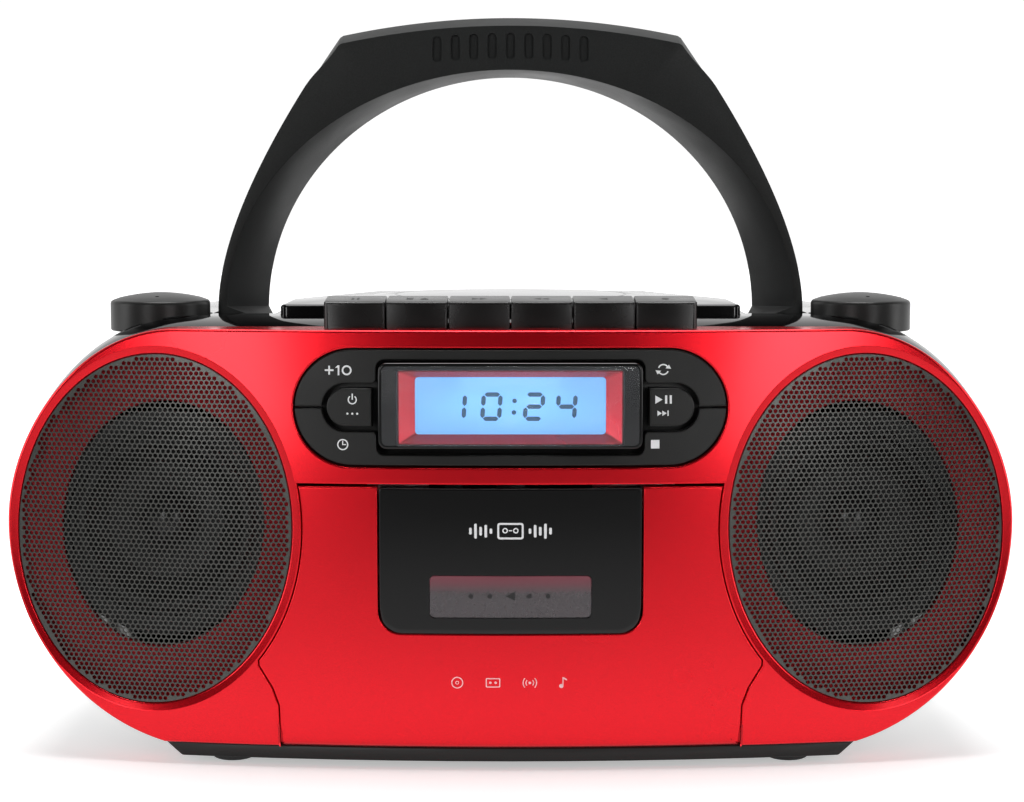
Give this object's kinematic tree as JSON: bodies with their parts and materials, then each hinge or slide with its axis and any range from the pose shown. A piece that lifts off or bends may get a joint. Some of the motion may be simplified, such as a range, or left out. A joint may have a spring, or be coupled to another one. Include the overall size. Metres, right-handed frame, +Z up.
{
  "type": "portable stereo cassette player",
  "caption": "Portable stereo with a red oval front, twin elliptical grilles, a cassette door, piano keys, a top disc lid, two knobs and an arched fold-back handle.",
  "frame": {"origin": "centre of the footprint, on the surface that the feet stand on", "axes": "+X to the right seen from the front, +Y from the front to the back, +Z up"},
  "size_m": [0.426, 0.19, 0.3161],
  "materials": {
    "red_shell": "satin metallic red lacquer",
    "gloss_black": "polished",
    "satin_black": "satin",
    "handle_black": "fine satin grain",
    "grille_metal": "black-painted perforated steel",
    "clear_lens": "clear acrylic",
    "lcd": "back-lit display",
    "rubber": "matte",
    "cone": "matte cone with a glossy cap",
    "steel": "plain",
    "chrome": "polished",
    "brass": "plain",
    "white_plastic": "plain",
    "board": "solder resist",
    "grey_plastic": "plain"
  },
  "bodies": {
    "cabinet": {"front_shell": "red_shell", "lower_front_panel": "red_shell", "rear_shell": "gloss_black", "top_deck": "gloss_black", "base_plate": "satin_black", "foot_front_left": "rubber", "foot_front_right": "rubber", "foot_rear_left": "rubber", "foot_rear_right": "rubber", "grille_left": "grille_metal", "grille_right": "grille_metal", "speaker_basket_left": "steel", "speaker_basket_right": "steel", "control_tray": "satin_black", "display_frame": "gloss_black", "display_bezel": "red_shell", "display_lens": "clear_lens", "lcd_panel": "lcd", "deck_chassis": "steel", "deck_motor": "steel", "drive_belt": "rubber", "key_shaft": "steel", "handle_pin_left": "steel", "handle_pin_right": "steel", "battery_contact_left": "brass", "battery_contact_right": "brass", "main_board": "board", "transformer": "steel", "mains_inlet": "satin_black"},
    "handle": {"handle": "handle_black"},
    "cassette_door": {"cassette_door": "gloss_black", "cassette_window": "clear_lens"},
    "disc_lid": {"disc_lid": "gloss_black"},
    "battery_door": {"battery_door": "gloss_black"},
    "key_pause": {"key_pause": "satin_black"},
    "key_stop_eject": {"key_stop_eject": "satin_black"},
    "key_fast_forward": {"key_fast_forward": "satin_black"},
    "key_rewind": {"key_rewind": "satin_black"},
    "key_play": {"key_play": "satin_black"},
    "key_record": {"key_record": "satin_black"},
    "upper_rocker": {"upper_rocker": "satin_black"},
    "lower_rocker": {"lower_rocker": "satin_black"},
    "mode_button": {"mode_button": "satin_black"},
    "play_button": {"play_button": "satin_black"},
    "volume_knob": {"volume_knob": "satin_black"},
    "function_knob": {"function_knob": "satin_black"},
    "antenna_swivel": {"antenna_swivel": "satin_black"},
    "antenna_mast": {"antenna_mast": "chrome"},
    "antenna_tube": {"antenna_tube": "chrome"},
    "antenna_tip": {"antenna_tip": "chrome"},
    "capstan": {"capstan_flywheel": "brass"},
    "motor_pulley": {"motor_pulley": "white_plastic"},
    "take_up_spindle": {"take_up_spindle": "white_plastic"},
    "supply_spindle": {"supply_spindle": "white_plastic"},
    "head_plate": {"head_plate": "chrome"},
    "disc_platter": {"disc_platter": "satin_black"},
    "disc_sled": {"disc_sled": "grey_plastic"},
    "speaker_cone_left": {"speaker_cone_left": "cone"},
    "speaker_cone_right": {"speaker_cone_right": "cone"}
  },
  "joints": [
    {"name": "handle_fold", "type": "hinge", "parent": "cabinet", "child": "handle", "pos_m": [0, 0.001, 0.168], "axis": [-1, 0, 0], "range_deg": [0, 90]},
    {"name": "cassette_door_open", "type": "hinge", "parent": "cabinet", "child": "cassette_door", "pos_m": [0, -0.0882, 0.061], "axis": [1, 0, 0], "range_deg": [0, 28]},
    {"name": "disc_lid_open", "type": "hinge", "parent": "cabinet", "child": "disc_lid", "pos_m": [0, 0.0885, 0.1902], "axis": [-1, 0, 0], "range_deg": [0, 42]},
    {"name": "battery_door_off", "type": "slide", "parent": "cabinet", "child": "battery_door", "axis": [0, 1, 0], "range_m": [0, 0.03]},
    {"name": "key_pause_press", "type": "hinge", "parent": "cabinet", "child": "key_pause", "pos_m": [-0.0645, -0.047, 0.18], "axis": [1, 0, 0], "range_deg": [0, 7], "stiffness_Nm_per_rad": 0.9, "springref_deg": -0.57},
    {"name": "key_stop_eject_press", "type": "hinge", "parent": "cabinet", "child": "key_stop_eject", "pos_m": [-0.0387, -0.047, 0.18], "axis": [1, 0, 0], "range_deg": [0, 7], "stiffness_Nm_per_rad": 0.9, "springref_deg": -0.57},
    {"name": "key_fast_forward_press", "type": "hinge", "parent": "cabinet", "child": "key_fast_forward", "pos_m": [-0.0129, -0.047, 0.18], "axis": [1, 0, 0], "range_deg": [0, 7], "stiffness_Nm_per_rad": 0.9, "springref_deg": -0.57},
    {"name": "key_rewind_press", "type": "hinge", "parent": "cabinet", "child": "key_rewind", "pos_m": [0.0129, -0.047, 0.18], "axis": [1, 0, 0], "range_deg": [0, 7], "stiffness_Nm_per_rad": 0.9, "springref_deg": -0.57},
    {"name": "key_play_press", "type": "hinge", "parent": "cabinet", "child": "key_play", "pos_m": [0.0387, -0.047, 0.18], "axis": [1, 0, 0], "range_deg": [0, 7], "stiffness_Nm_per_rad": 0.9, "springref_deg": -0.57},
    {"name": "key_record_press", "type": "hinge", "parent": "cabinet", "child": "key_record", "pos_m": [0.0645, -0.047, 0.18], "axis": [1, 0, 0], "range_deg": [0, 7], "stiffness_Nm_per_rad": 0.9, "springref_deg": -0.57},
    {"name": "upper_rocker_tilt", "type": "hinge", "parent": "cabinet", "child": "upper_rocker", "pos_m": [0, -0.086, 0.152], "axis": [0, 0, 1], "range_deg": [-0.8, 0.8], "stiffness_Nm_per_rad": 6},
    {"name": "lower_rocker_tilt", "type": "hinge", "parent": "cabinet", "child": "lower_rocker", "pos_m": [0, -0.086, 0.152], "axis": [0, 0, 1], "range_deg": [-0.8, 0.8], "stiffness_Nm_per_rad": 6},
    {"name": "mode_button_press", "type": "slide", "parent": "cabinet", "child": "mode_button", "axis": [0, 1, 0], "range_m": [0, 0.0012], "stiffness_N_per_m": 400},
    {"name": "play_button_press", "type": "slide", "parent": "cabinet", "child": "play_button", "axis": [0, 1, 0], "range_m": [0, 0.0012], "stiffness_N_per_m": 400},
    {"name": "volume_turn", "type": "hinge", "parent": "cabinet", "child": "volume_knob", "pos_m": [-0.153, -0.028, 0.19], "axis": [0, 0, 1], "range_deg": [-150, 150]},
    {"name": "function_turn", "type": "hinge", "parent": "cabinet", "child": "function_knob", "pos_m": [0.153, -0.028, 0.19], "axis": [0, 0, 1], "range_deg": [-60, 60]},
    {"name": "antenna_swivel_turn", "type": "hinge", "parent": "cabinet", "child": "antenna_swivel", "pos_m": [0.166, 0.0906, 0.14], "axis": [1, 0, 0], "range_deg": [0, 16]},
    {"name": "antenna_mast_swing", "type": "hinge", "parent": "antenna_swivel", "child": "antenna_mast", "pos_m": [0.167, 0.0906, 0.14], "axis": [0, 0, -1], "range_deg": [0, 95]},
    {"name": "antenna_tube_draw", "type": "slide", "parent": "antenna_mast", "child": "antenna_tube", "axis": [-1, 0, 0], "range_m": [0, 0.15]},
    {"name": "antenna_tip_draw", "type": "slide", "parent": "antenna_tube", "child": "antenna_tip", "axis": [-1, 0, 0], "range_m": [0, 0.14]},
    {"name": "capstan_spin", "type": "hinge", "parent": "cabinet", "child": "capstan", "pos_m": [0.017, -0.066, 0.106], "axis": [0, 1, 0], "continuous": true},
    {"name": "motor_spin", "type": "hinge", "parent": "cabinet", "child": "motor_pulley", "pos_m": [0.05, -0.066, 0.104], "axis": [0, 1, 0], "continuous": true},
    {"name": "take_up_spin", "type": "hinge", "parent": "cabinet", "child": "take_up_spindle", "pos_m": [0.02125, -0.075, 0.0812], "axis": [0, 1, 0], "continuous": true},
    {"name": "supply_spin", "type": "hinge", "parent": "cabinet", "child": "supply_spindle", "pos_m": [-0.02125, -0.075, 0.0812], "axis": [0, 1, 0], "continuous": true},
    {"name": "head_plate_slide", "type": "slide", "parent": "cabinet", "child": "head_plate", "axis": [0, 0, -1], "range_m": [0, 0.0041]},
    {"name": "disc_spin", "type": "hinge", "parent": "cabinet", "child": "disc_platter", "pos_m": [0, 0.0255, 0.178], "axis": [0, 0, 1], "continuous": true},
    {"name": "disc_sled_travel", "type": "slide", "parent": "cabinet", "child": "disc_sled", "axis": [0, 1, 0], "range_m": [-0.008, 0.016]},
    {"name": "cone_left_stroke", "type": "slide", "parent": "cabinet", "child": "speaker_cone_left", "axis": [0, 1, 0], "range_m": [-0.0012, 0.0012], "stiffness_N_per_m": 1500},
    {"name": "cone_right_stroke", "type": "slide", "parent": "cabinet", "child": "speaker_cone_right", "axis": [0, 1, 0], "range_m": [-0.0012, 0.0012], "stiffness_N_per_m": 1500}
  ],
  "couplings": [
    {"joint": "motor_spin", "follows": "capstan_spin", "ratio": 3.6},
    {"joint": "head_plate_slide", "follows": "key_play_press", "m_per_rad": 0.0327}
  ]
}
